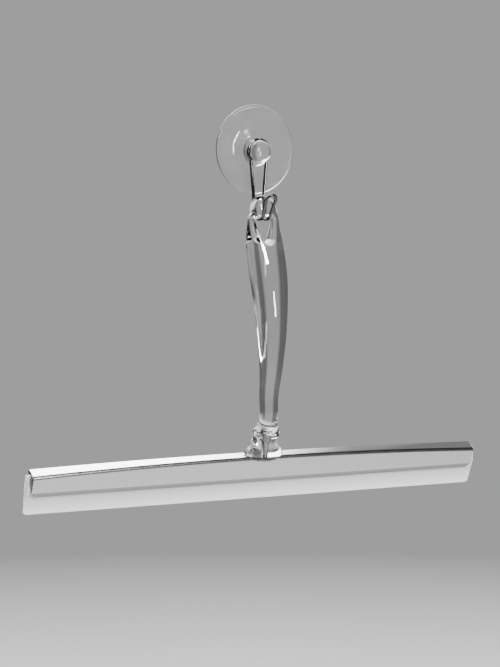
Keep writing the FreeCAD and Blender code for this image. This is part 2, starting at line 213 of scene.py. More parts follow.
def smooth_curve(stations, values, at):
    """Natural cubic spline: it passes through each station, and slope and curvature run on
    through it. The curvatures at the stations solve one small set of equations."""
    x = np.asarray(stations, float)
    y = np.asarray(values, float)
    step = np.diff(x)
    slope = np.diff(y) / step
    matrix = np.eye(len(x))
    right = np.zeros(len(x))
    for i in range(1, len(x) - 1):
        matrix[i, i - 1:i + 2] = step[i - 1], 2 * (step[i - 1] + step[i]), step[i]
        right[i] = 6 * (slope[i] - slope[i - 1])
    bend = np.linalg.solve(matrix, right)
    at = np.asarray(at, float)
    i = np.clip(np.searchsorted(x, at) - 1, 0, len(x) - 2)
    t = at - x[i]
    h = step[i]
    start_slope = slope[i] - h * (2 * bend[i] + bend[i + 1]) / 6
    return y[i] + t * start_slope + t ** 2 * bend[i] / 2 + t ** 3 * (bend[i + 1] - bend[i]) / (6 * h)


def ease(t):
    """0 below 0, 1 above 1, and a smooth step 3t^2 - 2t^3 between."""
    t = np.clip(t, 0, 1)
    return t * t * (3 - 2 * t)


# %% [markdown]
# ## Tools for finishes
# Each finish is one Principled shader. What varies over the surface, such as scratches, haze or
# brushing, is a noise texture on Object coordinates, which are metres here, so a pattern's scale
# is one over its size in metres. A stretched noise, made by scaling one axis less, gives the
# lines of brushing or of a mould.


# %% Shader helpers
def new_finish(name, colour, roughness, **sockets):
    """Material with one Principled shader, and its node tree and shader."""
    material = bpy.data.materials.new(name)
    material.use_nodes = True
    tree = material.node_tree
    shader = tree.nodes["Principled BSDF"]
    shader.inputs["Base Color"].default_value = (*colour, 1)
    shader.inputs["Roughness"].default_value = roughness
    for socket, value in sockets.items():
        shader.inputs[socket.replace("_", " ")].default_value = value
    return material, tree, shader


def pattern(tree, scale, stretch=(1, 1, 1), detail=3.0):
    """Noise on Object coordinates: scale is in features per metre, stretch multiplies it by axis."""
    place = tree.nodes.new("ShaderNodeTexCoord")
    mapping = tree.nodes.new("ShaderNodeMapping")
    noise = tree.nodes.new("ShaderNodeTexNoise")
    mapping.inputs["Scale"].default_value = stretch
    noise.inputs["Scale"].default_value = scale
    noise.inputs["Detail"].default_value = detail
    tree.links.new(place.outputs["Object"], mapping.inputs["Vector"])
    tree.links.new(mapping.outputs["Vector"], noise.inputs["Vector"])
    return noise.outputs["Fac"]


def spread(tree, value, low, high, start=0.3, end=0.7):
    """A pattern's value from start to end, drawn out to low to high."""
    node = tree.nodes.new("ShaderNodeMapRange")
    tree.links.new(value, node.inputs["Value"])
    node.inputs["From Min"].default_value = start
    node.inputs["From Max"].default_value = end
    node.inputs["To Min"].default_value = low
    node.inputs["To Max"].default_value = high
    return node.outputs["Result"]


def tint(tree, share, low, high):
    """Colour between low and high by a share from 0 to 1; low may be another tint."""
    node = tree.nodes.new("ShaderNodeMix")
    node.data_type = "RGBA"
    tree.links.new(share, node.inputs["Factor"])
    if isinstance(low, tuple):
        node.inputs["A"].default_value = (*low, 1)
    else:
        tree.links.new(low, node.inputs["A"])
    node.inputs["B"].default_value = (*high, 1)
    return node.outputs["Result"]


def stored(tree, name):
    """The number that the piece's points carry under a name."""
    node = tree.nodes.new("ShaderNodeAttribute")
    node.attribute_name = name
    return node.outputs["Fac"]


def between(tree, share, low, high):
    """Number between two values by a share from 0 to 1. All three come from other nodes."""
    node = tree.nodes.new("ShaderNodeMix")
    node.data_type = "FLOAT"
    for socket, value in (("Factor", share), ("A", low), ("B", high)):
        tree.links.new(value, node.inputs[socket])
    return node.outputs["Result"]


def relief(tree, shader, value, depth, strength=1.0):
    """Bump of a given depth in metres from a pattern's value."""
    node = tree.nodes.new("ShaderNodeBump")
    node.inputs["Strength"].default_value = strength
    node.inputs["Distance"].default_value = depth
    tree.links.new(value, node.inputs["Height"])
    tree.links.new(node.outputs["Normal"], shader.inputs["Normal"])


def dress(piece, material):
    """Give a piece one material all over."""
    piece.data.materials.clear()
    piece.data.materials.append(material)


# %% [markdown]
# ## The suction cup
# The cup is one soft clear moulding. It is a body of revolution: a disc pressed flat on the wall,
# with a bead at its rim and a small hollow behind its middle, a thicker crown, a neck for the wire
# ring and a mushroom knob that keeps the ring on. The weight pulls the soft neck and knob a little
# down. So one outline is turned about the wall's normal, and the outer side is let down near the
# neck by an amount that grows smoothly inwards from just outside the crown.

# %% Suction cup
CUP_RADIUS = 26.5
CROWN_RADIUS = 8.0
NECK_RADIUS = 5.6
KNOB_RADIUS = 6.9
CROWN_LEVEL = 4.0
KNOB_LEVEL = 6.4
KNOB_FRONT = 11.0
DROP_START = CROWN_RADIUS + 3.0
DROP_BAND = 4.0
WALL_SIDE = 0.25    # share of the outline's points that face the wall
HUB_DROP = -joints["hook_turn"]["pos_m"][2] / MM


def suction_cup():
    """Outline (radius, distance from the wall) turned about the Y axis through the origin. Points
    on the outer side move down by HUB_DROP * ease((start - radius) / band)."""
    corners = [
        (0.0, 2.0), (9.0, 1.5), (15.0, 0.12), (24.1, 0.0), (CUP_RADIUS, 0.0), (CUP_RADIUS, 0.85),
        (26.0, 1.2), (25.0, 1.25), (24.5, 0.98), (23.9, 1.0), (14.5, 1.15), (CROWN_RADIUS + 1.3, 2.8),
        (CROWN_RADIUS, CROWN_LEVEL), (NECK_RADIUS, CROWN_LEVEL), (NECK_RADIUS, KNOB_LEVEL),
        (KNOB_RADIUS, KNOB_LEVEL), (KNOB_RADIUS, 8.2), (4.6, 10.3), (0.0, KNOB_FRONT),
    ]
    radii = [0, 6, 12, 0.4, 0.35, 0.3, 0.4, 0.3, 0.3, 0.5, 9, 2.0, 0.8, 0.5, 0.25, 0.35, 2.2, 5.0, 0]
    outline = rounded_outline(corners, radii, steps=8)[1:-1]
    radius, depth = outline[:, :1], outline[:, 1:]
    angle = np.linspace(0, 2 * math.pi, 144, endpoint=False)[None, :]
    outer_side = np.arange(len(outline))[:, None] > len(outline) * WALL_SIDE
    drop = HUB_DROP * ease((DROP_START - radius) / DROP_BAND) * outer_side
    rings = np.stack([
        radius * np.cos(angle),
        -depth + 0 * angle,
        radius * np.sin(angle) - drop,
    ], -1)
    return ring_piece("suction_cup_soft", rings * MM, sharp_degrees=50)


cup = suction_cup()
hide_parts("suction_cup")
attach(cup, "cup")

# %% [markdown]
# ### Its finish: clear soft vinyl
# Clear vinyl is not quite as clear as glass. It has a faint haze, and the surface has the shallow
# waves of a soft moulding. A little haze is given by roughness that varies in soft patches.

# %% Clear soft vinyl
vinyl, tree, shader = new_finish(
    "clear soft vinyl", (0.95, 0.96, 0.965), 0.08, IOR=1.46, Transmission_Weight=0.975
)
haze = pattern(tree, 140, detail=4)
tree.links.new(spread(tree, haze, 0.03, 0.16), shader.inputs["Roughness"])
tree.links.new(
    tint(tree, pattern(tree, 60), (0.93, 0.94, 0.95), (0.98, 0.985, 0.985)), shader.inputs["Base Color"]
)
relief(tree, shader, pattern(tree, 220, detail=2), 0.00005, 0.4)
dress(cup, vinyl)
print("vinyl nodes", len(tree.nodes))

# %% [markdown]
# ## The wire hook
# One length of wire is bent double: a ring round the cup's neck, two legs, a round hook and a
# closed tip. A tube could follow a Blender curve, but the bends here are true arcs between straight
# legs, so the path is worked out from the wire's own bending sizes, and a circle is carried along
# it. The two cut ends meet on top of the ring with a small gap and slightly rounded ends.

# %% Path of the wire
WIRE_RADIUS = 1.0
CUT_RADIUS = 0.8
RING_RADIUS = 7.2
KEYHOLE_RADIUS = 2.5
LEG_GAP_LOW = 4.4
LEG_SPREAD = 0.09
HOOK_RADIUS = 5.0
HOOK_LEAN = math.radians(28)
TIP_RISE = 13.4
CUT_GAP = 0.25
ring_centre = np.array(joints["hook_turn"]["pos_m"]) / MM
swing_centre = np.array(joints["squeegee_swing"]["pos_m"]) / MM


def arc_points(centre, start, axis, angle, steps):
    """start turned about centre and axis by 0 to angle: c cos + (axis x r) sin, for r across the axis."""
    turn = np.linspace(0, angle, steps)[:, None]
    arm = start - centre
    return centre + arm * np.cos(turn) + np.cross(axis, arm) * np.sin(turn)


def line_points(start, end, steps):
    """Evenly spaced points from start to end."""
    return start + (end - start) * np.linspace(0, 1, steps)[:, None]


def hook_half():
    """Right half of the path, and at each point a direction across the wire. On an arc that
    direction is the arc's own axis, and on a straight run it turns from one arc's to the next."""
    up = unit([LEG_SPREAD, 0, 1])
    out = unit([1, 0, -LEG_SPREAD])
    away = np.array([0.0, -1.0, 0.0])
    low = np.array([LEG_GAP_LOW / 2, swing_centre[1], swing_centre[2] - HOOK_RADIUS])
    centre = low + up * HOOK_RADIUS
    leg_low = centre - away * HOOK_RADIUS
    # The reverse bend touches the ring from outside and the leg from its outer side
    offset = leg_low + out * KEYHOLE_RADIUS - ring_centre
    reach = RING_RADIUS + KEYHOLE_RADIUS
    along = offset @ up
    keyhole = ring_centre + offset + up * (-along - math.sqrt(along ** 2 - offset @ offset + reach ** 2))
    to_keyhole = unit(keyhole - ring_centre)
    leg_top = keyhole - out * KEYHOLE_RADIUS
    ring_turn = math.acos(np.clip(to_keyhole[2], -1, 1))
    cut = CUT_GAP / RING_RADIUS
    ring_axis = np.array([0.0, 1.0, 0.0])
    ring_start = ring_centre + RING_RADIUS * np.array([math.sin(cut), 0, math.cos(cut)])
    ring = arc_points(ring_centre, ring_start, ring_axis, ring_turn - cut, 60)
    keyhole_turn = math.acos(np.clip(-to_keyhole @ -out, -1, 1))
    neck = arc_points(keyhole, ring[-1], -ring_axis, keyhole_turn, 14)
    leg = line_points(leg_top, leg_low, 16)
    bend = arc_points(centre, leg_low, -out, math.pi - HOOK_LEAN, 36)
    rising = unit(away * math.sin(HOOK_LEAN) + up * math.cos(HOOK_LEAN))
    straight = unit([0, rising[1], rising[2]])
    tip_angle = math.asin(rising[0])
    front = bend[-1]
    level = (TIP_RISE - front[0] * math.cos(tip_angle)) / (1 + math.sin(tip_angle))
    tip_centre = np.array([0, front[1], front[2]]) + straight * level
    tip_radius = (front[0] + level * math.tan(tip_angle)) * math.cos(tip_angle)
    across = np.array([1.0, 0.0, 0.0])
    tip_start = tip_centre + (across * math.cos(tip_angle) - straight * math.sin(tip_angle)) * tip_radius
    tip_axis = unit(np.cross(across, straight))
    tip = arc_points(tip_centre, tip_start, tip_axis, math.pi / 2 + tip_angle, 14)
    tine = line_points(front, tip_start, 10)
    # Each run, with the direction across it at its start and at its end
    runs = [
        (ring, ring_axis, ring_axis), (neck, ring_axis, ring_axis), (leg, ring_axis, out),
        (bend, out, out), (tine, out, -tip_axis), (tip, -tip_axis, -tip_axis),
    ]
    path = np.concatenate([points for points, _, _ in runs])
    sides = np.concatenate([line_points(first, last, len(points)) for points, first, last in runs])
    # Where two runs meet they share a point, and one of the two is dropped
    keep = np.append(np.linalg.norm(np.diff(path, axis=0), axis=-1) > 1e-6, True)
    return path[keep], sides[keep]


def tube_rings(path, sides, radii, around=20):
    """Rings of a tube: point + radius * (side cos a + binormal sin a), where the side is made
    square to the path's direction first."""
    along = unit(np.gradient(path, axis=0))
    side = unit(sides - along * (sides * along).sum(-1, keepdims=True))
    other = np.cross(along, side)
    angle = np.linspace(0, 2 * math.pi, around, endpoint=False)[None, :, None]
    round_it = side[:, None] * np.cos(angle) + other[:, None] * np.sin(angle)
    return path[:, None] + round_it * np.asarray(radii)[:, None, None]


# %% Wire hook
half, half_sides = hook_half()
mirror = np.array([-1.0, 1.0, 1.0])
wire_path = np.concatenate([half, (half * mirror)[-2::-1]])
wire_sides = np.concatenate([half_sides, (half_sides * mirror)[-2::-1] * -1.0])
# The side direction is kept on the same side of the wire all the way along
same_side = np.sign((wire_sides[1:] * wire_sides[:-1]).sum(-1))
wire_sides = wire_sides * np.cumprod(np.append(1, same_side))[:, None]
end_gap = np.minimum(np.arange(len(wire_path)), np.arange(len(wire_path))[::-1])
wire_radii = np.where(end_gap == 0, CUT_RADIUS, WIRE_RADIUS)
hook = ring_piece("wire_hook_bent", tube_rings(wire_path, wire_sides, wire_radii) * MM, sharp_degrees=60)
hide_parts("wire_hook")
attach(hook, "hook")
wire_length = np.linalg.norm(np.diff(wire_path, axis=0), axis=-1).sum()
print(f"the wire is {wire_length:.1f} mm long when straight")

# %% [markdown]
# ### Its finish: chromed wire
# Chrome shows what is around it, and only fine rubbing marks break the reflection. The wire's colour
# is painted very dark, as a painted dark reflection, so that its legs look dark.

# %% Chromed wire
# Painted dark reflection: the wire's colour is near black instead of chrome's light grey
wire_chrome_painted_dark, tree, shader = new_finish("chromed wire", (0.12, 0.118, 0.114), 0.05, Metallic=1.0)
rubbed = pattern(tree, 900, stretch=(1, 1, 0.25), detail=5)
tree.links.new(spread(tree, rubbed, 0.02, 0.09), shader.inputs["Roughness"])
relief(tree, shader, rubbed, 0.00001, 0.35)
dress(hook, wire_chrome_painted_dark)

# %% [markdown]
# ## The head's own frame
# The blade, its channel and the foot lean as one. They are easiest to draw upright, with the
# wiping edge on the X axis, and then turned about that edge and put in place.

# %% The head's frame
HEAD_LEAN = math.radians(16)
EDGE_FROM_WALL = 2.8
EDGE_DROP = 208.3
head_up = np.array([0.0, -math.sin(HEAD_LEAN), math.cos(HEAD_LEAN)])
head_back = np.array([0.0, math.cos(HEAD_LEAN), math.sin(HEAD_LEAN)])
head_edge = np.array([0.0, -EDGE_FROM_WALL, -EDGE_DROP])


def in_head(points):
    """Points (x, y, z) of the upright head, leaned and put in place: x is kept, y goes along the
    head's back direction and z along its up direction."""
    points = np.asarray(points, float)
    x = points[..., :1] * np.array([1.0, 0.0, 0.0])
    return head_edge + x + points[..., 1:2] * head_back + points[..., 2:] * head_up


print("wiping edge at", in_head([0, 0, 0]), "head top at", in_head([0, 0, 28.1]))

# %% [markdown]
# ## The handle
# The handle is one thick clear moulding: a bowed oval grip that is pierced by a drop-shaped eye
# and flattens into a bar, and below it a stem that ends in a trumpet flare. Cutting the eye with
# a Boolean would leave a hard rim and broken shading, which clear plastic shows at once. So the
# part round the eye is made as two height fields, front and back, over the area between the
# eye's outline and the handle's outline, and everything below is rings of an ellipse. Both meet
# in the same points.

# %% Handle sizes
EYE_WIDTH = 11.8
EYE_TOP = swing_centre[2] - 3.25
EYE_HEIGHT = 15.0
EYE_LOW_RADIUS = 3.3
EYE_CORNER = 2.6
EYE_ROUNDING = 2.5
HANDLE_TOP = swing_centre[2] + 9.5
SEAM_HEIGHT = swing_centre[2] - 25.2
DOME_START = swing_centre[2] - 3.2
FOOT_TOP = 42.5
FLARE_TOP = 49.5
STEM_RADIUS = 5.5
FLARE_RADIUS = 7.8
AROUND = 64

stem_base = in_head([0, 0, FOOT_TOP + 2])
stem_high = in_head([0, 0, FLARE_TOP + 2])
grip_top = swing_centre + np.array([0, -1.8, -18.2])
# Share of the way from the stem up to the eye, bow away from the wall, width and thickness
grip = np.array([
    (0.094, 0.5, 11.5, 11.3),
    (0.229, 3.1, 13.3, 12.1),
    (0.374, 5.2, 16.4, 13.3),
    (0.518, 6.0, 19.3, 14.7),
    (0.663, 5.4, 21.9, 16.0),
    (0.798, 3.7, 24.3, 16.2),
    (0.913, 1.6, 25.0, 14.4),
])
# Height over the hook's bend, depth in front of it, width and thickness
bar = np.array([
    (-18.2, 1.8, 24.4, 11.8),
    (-10.2, 0.6, 22.6, 9.2),
    (-3.2, 0.1, 20.4, 7.0),
    (2.8, 0.0, 18.5, 6.3),
    (9.5, 0.0, 16.8, 5.6),
])
grip_line = stem_high + (grip_top - stem_high) * grip[:, :1]
heights = np.concatenate([[stem_base[2], stem_high[2]], grip_line[:, 2], swing_centre[2] + bar[:, 0]])
grip_depths = grip_line[:, 1] - grip[:, 1]
bar_depths = swing_centre[1] - bar[:, 1]
depths = np.concatenate([[stem_base[1], stem_high[1]], grip_depths, bar_depths])
half_widths = np.concatenate([[STEM_RADIUS, STEM_RADIUS], grip[:, 2] / 2, bar[:, 2] / 2])
half_depths = np.concatenate([[STEM_RADIUS, STEM_RADIUS], grip[:, 3] / 2, bar[:, 3] / 2])
print("handle from", round(stem_base[2], 1), "to", round(HANDLE_TOP, 1), "mm")


# %% Handle shape as functions of the height
def centre_depth(z):
    """Y of the handle's middle line at a height."""
    return smooth_curve(heights, depths, z)


def dome(z):
    """1 below the dome, and falling to 0 at the very top as 1 - u^3.5."""
    u = np.clip((z - DOME_START) / (HANDLE_TOP - DOME_START), 0, 1)
    return 1 - u ** 3.5


def half_width(z):
    """Half width: the spline, closed over the top by the square root of the dome."""
    return smooth_curve(heights, half_widths, z) * np.sqrt(dome(z))


def half_depth(z):
    """Half thickness: the spline, closed over the top by a blunter power of the dome."""
    return smooth_curve(heights, half_depths, z) * dome(z) ** 0.3


# %% Outline of the eye
def eye_outline(count=720):
    """Outer hull of two small circles above and a larger one below, as an even list of points."""
    low = np.array([0.0, EYE_TOP - EYE_HEIGHT + EYE_LOW_RADIUS])
    corner = np.array([EYE_WIDTH / 2 - EYE_CORNER, EYE_TOP - EYE_CORNER])
    gap = corner - low
    taper = math.asin((EYE_CORNER - EYE_LOW_RADIUS) / np.hypot(*gap))
    side = math.atan2(gap[1], gap[0]) - math.pi / 2 + taper
    a = np.linspace(-math.pi / 2, side, 40)
    b = np.linspace(side, math.pi / 2, 40)
    right = np.concatenate([
        low + EYE_LOW_RADIUS * np.stack([np.cos(a), np.sin(a)], -1),
        corner + EYE_CORNER * np.stack([np.cos(b), np.sin(b)], -1),
    ])
    loop = np.concatenate([right, (right * [-1, 1])[::-1]])
    loop = np.concatenate([loop, loop[:1]])
    length = np.append(0, np.cumsum(np.linalg.norm(np.diff(loop, axis=0), axis=-1)))
    even = np.linspace(0, length[-1], count, endpoint=False)
    return np.stack([np.interp(even, length, loop[:, 0]), np.interp(even, length, loop[:, 1])], -1)


eye = eye_outline()
eye_middle = np.array([0.0, EYE_TOP - EYE_HEIGHT * 0.46])
print("eye", np.ptp(eye, axis=0).round(2), "mm")


# %% Handle, round the eye
def eye_part(steps=40, side_steps=110):
    """Front and back sheets between the eye's outline and the handle's.

    A grid line runs from the eye to the outline with v = (1 - cos(pi k)) / 2, so that points crowd
    where the surface turns over. The half thickness is t * sqrt(1 - (x / w)^2), times
    sqrt(1 - (1 - d / r)^2) within r of the eye, where d is the distance to it.
    """
    angle = np.linspace(0, math.pi, AROUND + 1)
    bottom = np.stack([-half_width(SEAM_HEIGHT) * np.cos(angle), np.full(AROUND + 1, SEAM_HEIGHT)], -1)
    rise = 1 - (1 - np.linspace(0, 1, side_steps)) ** 2
    z = SEAM_HEIGHT + (HANDLE_TOP - SEAM_HEIGHT) * rise
    right = np.stack([half_width(z), z], -1)
    right[-1, 0] = 0.0
    left = (right * [-1, 1])[::-1]
    outer = np.concatenate([bottom[:-1], right[:-1], left[:-1]])
    arm = outer - eye_middle
    eye_arm = eye - eye_middle
    eye_angle = np.arctan2(eye_arm[:, 1], eye_arm[:, 0])
    order = np.argsort(eye_angle)
    reach = np.interp(
        np.arctan2(arm[:, 1], arm[:, 0]), eye_angle[order], np.linalg.norm(eye_arm, axis=-1)[order],
        period=2 * math.pi,
    )
    inner = eye_middle + unit(arm) * reach[:, None]
    v = ((1 - np.cos(math.pi * np.linspace(0, 1, steps))) / 2)[:, None, None]
    flat = inner + (outer - inner) * v
    distance = np.linalg.norm(flat[:, :, None] - eye[None, None, ::6], axis=-1).min(-1)
    distance[0] = 0.0
    rim = np.sqrt(1 - (1 - np.clip(distance / EYE_ROUNDING, 0, 1)) ** 2)
    x, z = flat[..., 0], flat[..., 1]
    share = np.clip(x / np.maximum(half_width(z), 1e-9), -1, 1)
    thick = half_depth(z) * np.sqrt(1 - share ** 2) * rim
    thick[-1, AROUND:] = 0.0
    front = np.stack([x, centre_depth(z) - thick, z], -1)
    behind = np.stack([x, centre_depth(z) + thick, z], -1)
    return front, behind


# %% Handle, below the eye
def handle_rings():
    """Rings of an ellipse from the seam below the eye to the flare, then the flare and its flat
    end. A ring's plane leans from 0 to the head's lean on the way down."""
    angle = np.linspace(0, 2 * math.pi, 2 * AROUND, endpoint=False)
    x_share, y_share = -np.cos(angle), -np.sin(angle)
    z = np.linspace(SEAM_HEIGHT, stem_high[2], 96)
    lean = HEAD_LEAN * ease((SEAM_HEIGHT - z) / (SEAM_HEIGHT - stem_high[2]))[:, None]
    y_reach = half_depth(z)[:, None] * y_share
    grip_rings = np.stack([
        half_width(z)[:, None] * x_share,
        centre_depth(z)[:, None] + y_reach * np.cos(lean),
        z[:, None] + y_reach * np.sin(lean),
    ], -1)
    t = np.linspace(0.12, 1, 22)
    flare = np.stack([
        STEM_RADIUS + (FLARE_RADIUS - STEM_RADIUS) * t ** 2.3,
        FLARE_TOP - (FLARE_TOP - FOOT_TOP - 0.8) * t,
    ], -1)
    corners = [flare[-1], (FLARE_RADIUS, FOOT_TOP), (0.5, FOOT_TOP)]
    end = rounded_outline(corners, [0, 0.35, 0], steps=5)
    profile = np.concatenate([flare, end[1:]])
    radius, level = profile[:, :1], profile[:, 1:]
    end_rings = in_head(np.stack([radius * x_share, radius * y_share, level + 0 * x_share], -1))
    return np.concatenate([grip_rings, end_rings])


# %% Handle as one surface
def handle_piece():
    """The two sheets and the rings, with the points that they share made one."""
    front, behind = eye_part()
    rings = handle_rings()
    rows, columns = front.shape[:2]
    sheet = grid_faces(rows, columns)
    ring_rows, ring_columns = rings.shape[:2]
    last = (ring_rows - 1) * ring_columns + np.arange(ring_columns)
    start = 2 * rows * columns
    blocks = [block.reshape(-1, 3) for block in (front, behind, rings)]
    points = np.concatenate([*blocks, rings[-1:].mean(1)])
    faces = [
        sheet[:, ::-1],
        sheet + rows * columns,
        grid_faces(ring_rows, ring_columns) + start,
        fan_faces(last, ring_rows * ring_columns) + start,
    ]
    return make_piece("handle_clear", points * MM, faces, weld=1e-7)


handle = handle_piece()
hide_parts("handle")
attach(handle, "squeegee")

# %% [markdown]
# ### Its finish: clear acrylic
# Polished acrylic is clear with a very slight cool tint. The thick moulding has long shallow flow
# waves that wander in the highlights, and a few fine handling scratches.

# %% Clear acrylic
acrylic, tree, shader = new_finish(
    "clear acrylic", (0.97, 0.98, 0.985), 0.02, IOR=1.49, Transmission_Weight=1.0
)
worn = pattern(tree, 700, stretch=(1, 1, 0.2), detail=5)
tree.links.new(spread(tree, worn, 0.0, 0.05, 0.45, 0.75), shader.inputs["Roughness"])
tree.links.new(
    tint(tree, pattern(tree, 30), (0.965, 0.98, 0.985), (0.985, 0.99, 0.99)), shader.inputs["Base Color"]
)
relief(tree, shader, pattern(tree, 45, stretch=(1, 1, 0.35), detail=1), 0.0004, 0.35)
dress(handle, acrylic)

# %% [markdown]
# ## The blade channel
# The channel is one folded sheet: a crown that arches along its length, two flat faces, and two
# lips turned in to hold the blade. Its outline changes along the head, because the front crease
# sinks towards both ends more than the back one does. So the corners of the outline are
# functions of x, all outlines are rounded at once, and the same outline moved in by the sheet's
# thickness closes the surface.

# %% Channel sizes
CHANNEL_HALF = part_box("blade_channel")[1][0] / MM
SHEET = 0.8
LIP_LOW = 11.3
LIP_HIGH = 14.0
LIP_HALF = 2.35
FOLD_HALF = 3.2
FACE_SLOPE = 0.093
CROWN = 28.1
FRONT_SAG = 4.1
BACK_SAG = 1.6
END_CORNER = 3.0
FRONT_CREASE = 2.2
BACK_CREASE = 1.1
FOLD_RADIUS = 0.6
EDGE_ROUND = 0.12
ARC_STEPS = 7
# Painted shade on each lip: how much darker its colour is painted, from the lip's edge to the end of its
# fold
LIP_PAINTED_SHADE = (1.0, 0.75, 0.65, 0.5, 0.35, 0.2, 0.1, 0.0)
print("channel half length", round(CHANNEL_HALF, 2))


# %% Channel
def end_reach(level, half_length, low, radius):
    """Half length at a level, with the lower corner rounded: half - r + sqrt(r^2 - (r - rise)^2)."""
    rise = np.clip(level - low, 0, radius)
    return half_length - radius + np.sqrt(radius ** 2 - (radius - rise) ** 2)


def channel_outline(x, inset):
    """Corners of the folded section at each x, moved in by an inset, with rounded creases."""
    share = (x / CHANNEL_HALF) ** 2
    crown_front = CROWN - inset - FRONT_SAG * share
    crown_back = CROWN - inset - BACK_SAG * share
    zero = 0 * x

    def face(level):
        return FOLD_HALF - inset + FACE_SLOPE * (level - LIP_HIGH)

    corners = np.stack([
        np.stack([zero - LIP_HALF + inset, zero + LIP_LOW], -1),
        np.stack([zero - FOLD_HALF + inset, zero + LIP_HIGH], -1),
        np.stack([-face(crown_front), crown_front], -1),
        np.stack([face(crown_back), crown_back], -1),
        np.stack([zero + FOLD_HALF - inset, zero + LIP_HIGH], -1),
        np.stack([zero + LIP_HALF - inset, zero + LIP_LOW], -1),
    ], -2)
    rounding = [FOLD_RADIUS, FRONT_CREASE, BACK_CREASE, FOLD_RADIUS]
    rounding = [max(radius - inset, 0.3) for radius in rounding]
    return rounded_outline(corners, [0, *rounding, 0], steps=ARC_STEPS)


def channel_piece():
    """Outer and inner outline joined at the lips, one such loop at each station along the head."""
    count = 161
    station = np.sin(np.linspace(-math.pi / 2, math.pi / 2, count))
    outer = channel_outline(station * CHANNEL_HALF, 0.0)
    inner = channel_outline(station * CHANNEL_HALF, SHEET)
    outline = np.concatenate([outer, inner[:, ::-1]], 1)
    reach = end_reach(outline[..., 1], CHANNEL_HALF, LIP_LOW - 0.01, END_CORNER)
    x = station[:, None] * reach
    rings = in_head(np.concatenate([x[..., None], outline], -1))
    rows, columns = rings.shape[:2]
    piece = bar_piece("blade_channel_folded", rings * MM)
    # The outer outline has one point at each lip's edge, and ARC_STEPS on each of the front fold,
    # the front crease, the back crease and the back fold, in that order
    front_crease = 1 + ARC_STEPS
    back_crease = front_crease + ARC_STEPS
    back_fold = back_crease + ARC_STEPS
    # The crown is marked to stay light and polished, the front crease to be painted dark as a painted dark
    # reflection, and the lips to carry painted shade
    marks = {name: np.zeros(columns) for name in ("bright", "lip_painted_shade", "crease")}
    marks["bright"][back_crease - 2:back_fold - 1] = 1.0
    marks["crease"][front_crease + 1:back_crease - 2] = 1.0
    marks["lip_painted_shade"][:front_crease] = LIP_PAINTED_SHADE
    marks["lip_painted_shade"][back_fold:back_fold + front_crease] = LIP_PAINTED_SHADE[::-1]
    for name, values in marks.items():
        point_values(piece, name, np.tile(values, rows))
    return piece


channel = channel_piece()
# Plating leaves a small round on the sheet's cut edges
bevel = channel.modifiers.new("edges", "BEVEL")
bevel.width = EDGE_ROUND * MM
bevel.segments = 2
bevel.limit_method = "ANGLE"
bevel.angle_limit = math.radians(50)
bevel.harden_normals = True
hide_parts("blade_channel")
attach(channel, "squeegee")

# %% [markdown]
# ### Its finish: chromed sheet
# The sheet is plated all over. The crown is polished as bright as a mirror and keeps the plating's
# light colour. The faces have a fine brushing along the head, and their colour is painted darker
# than the crown's, as painted shade. The folded lips are painted darker still, as painted shade, and
# the tight front crease is painted nearly black, as a painted dark reflection. Three numbers carried
# by the points tell the finish where it is. The brushing is a noise drawn out along X that roughens
# the faces but not the crown.

# %% Chromed sheet
sheet_chrome, tree, shader = new_finish("chromed sheet", (0.80, 0.805, 0.815), 0.2, Metallic=1.0)
brushing = pattern(tree, 1.0, stretch=(18, 5200, 5200), detail=4)
wiped = pattern(tree, 60, stretch=(0.15, 1, 1), detail=3)
face_roughness = spread(tree, brushing, 0.16, 0.32)
crown_roughness = spread(tree, wiped, 0.03, 0.07)
crown_share = stored(tree, "bright")
roughness = between(tree, crown_share, face_roughness, crown_roughness)
# Painted shade: the faces are darker than the crown, the lips darker still, and the front crease nearly
# black as a painted dark reflection
faces_and_lips = tint(tree, stored(tree, "lip_painted_shade"), (0.48, 0.485, 0.49), (0.24, 0.24, 0.245))
with_crown = tint(tree, crown_share, faces_and_lips, (0.86, 0.865, 0.87))
with_painted_crease_shade = tint(tree, stored(tree, "crease"), with_crown, (0.14, 0.142, 0.145))
tree.links.new(roughness, shader.inputs["Roughness"])
tree.links.new(with_painted_crease_shade, shader.inputs["Base Color"])
relief(tree, shader, brushing, 0.00001, 0.25)
dress(channel, sheet_chrome)

# %% [markdown]
# ## The foot
# The foot is a small clear saddle that is cemented to the flare's end and sits on the crown of the
# channel. Its round-edged skirt hangs over both faces. Clear cement fills the socket of the flare's
# spigot and has nearly the plastic's own refraction, so neither shows, and the foot is drawn solid.
# Its outer surface is a stack of ovals. Each line down it stops where it meets the channel, and
# from there the underside runs up the face and across the crown to the middle. Its top laps a
# little into the flare's end, so that no film of air shows between them.

# %% Foot
RIM_RADIUS = 7.9
RIM_LOW = 41.1
SEAT_PLAY = 0.03
CEMENT_LAP = 0.05
# Level, half length and half depth from the waist down to the closing skirt
skirt = np.array([
    (39.6, 7.1, 7.1),
    (34.1, 9.2, 7.3),
    (30.2, 12.1, 7.6),
    (27.8, 12.3, 7.6),
    (26.4, 11.0, 6.8),
    (25.1, 8.4, 5.2),
    (24.3, 5.1, 3.1),
])


def foot_profile():
    """Rows of (half length, half depth, level): the rim's top, its band and cone, and a spline
    through the skirt's ovals."""
    top = FOOT_TOP + CEMENT_LAP
    corners = [(0.5, top), (RIM_RADIUS, top), (RIM_RADIUS, RIM_LOW), skirt[0, [1, 0]]]
    rim = rounded_outline(corners, [0, 0.3, 0.4, 0], steps=6)
    station = np.arange(len(skirt))
    along = np.linspace(0, len(skirt) - 1, 241)[1:]
    level, length, depth = (smooth_curve(station, skirt[:, i], along) for i in range(3))
    return np.concatenate([rim[:, [0, 0, 1]], np.stack([length, depth, level], -1)]), len(rim)


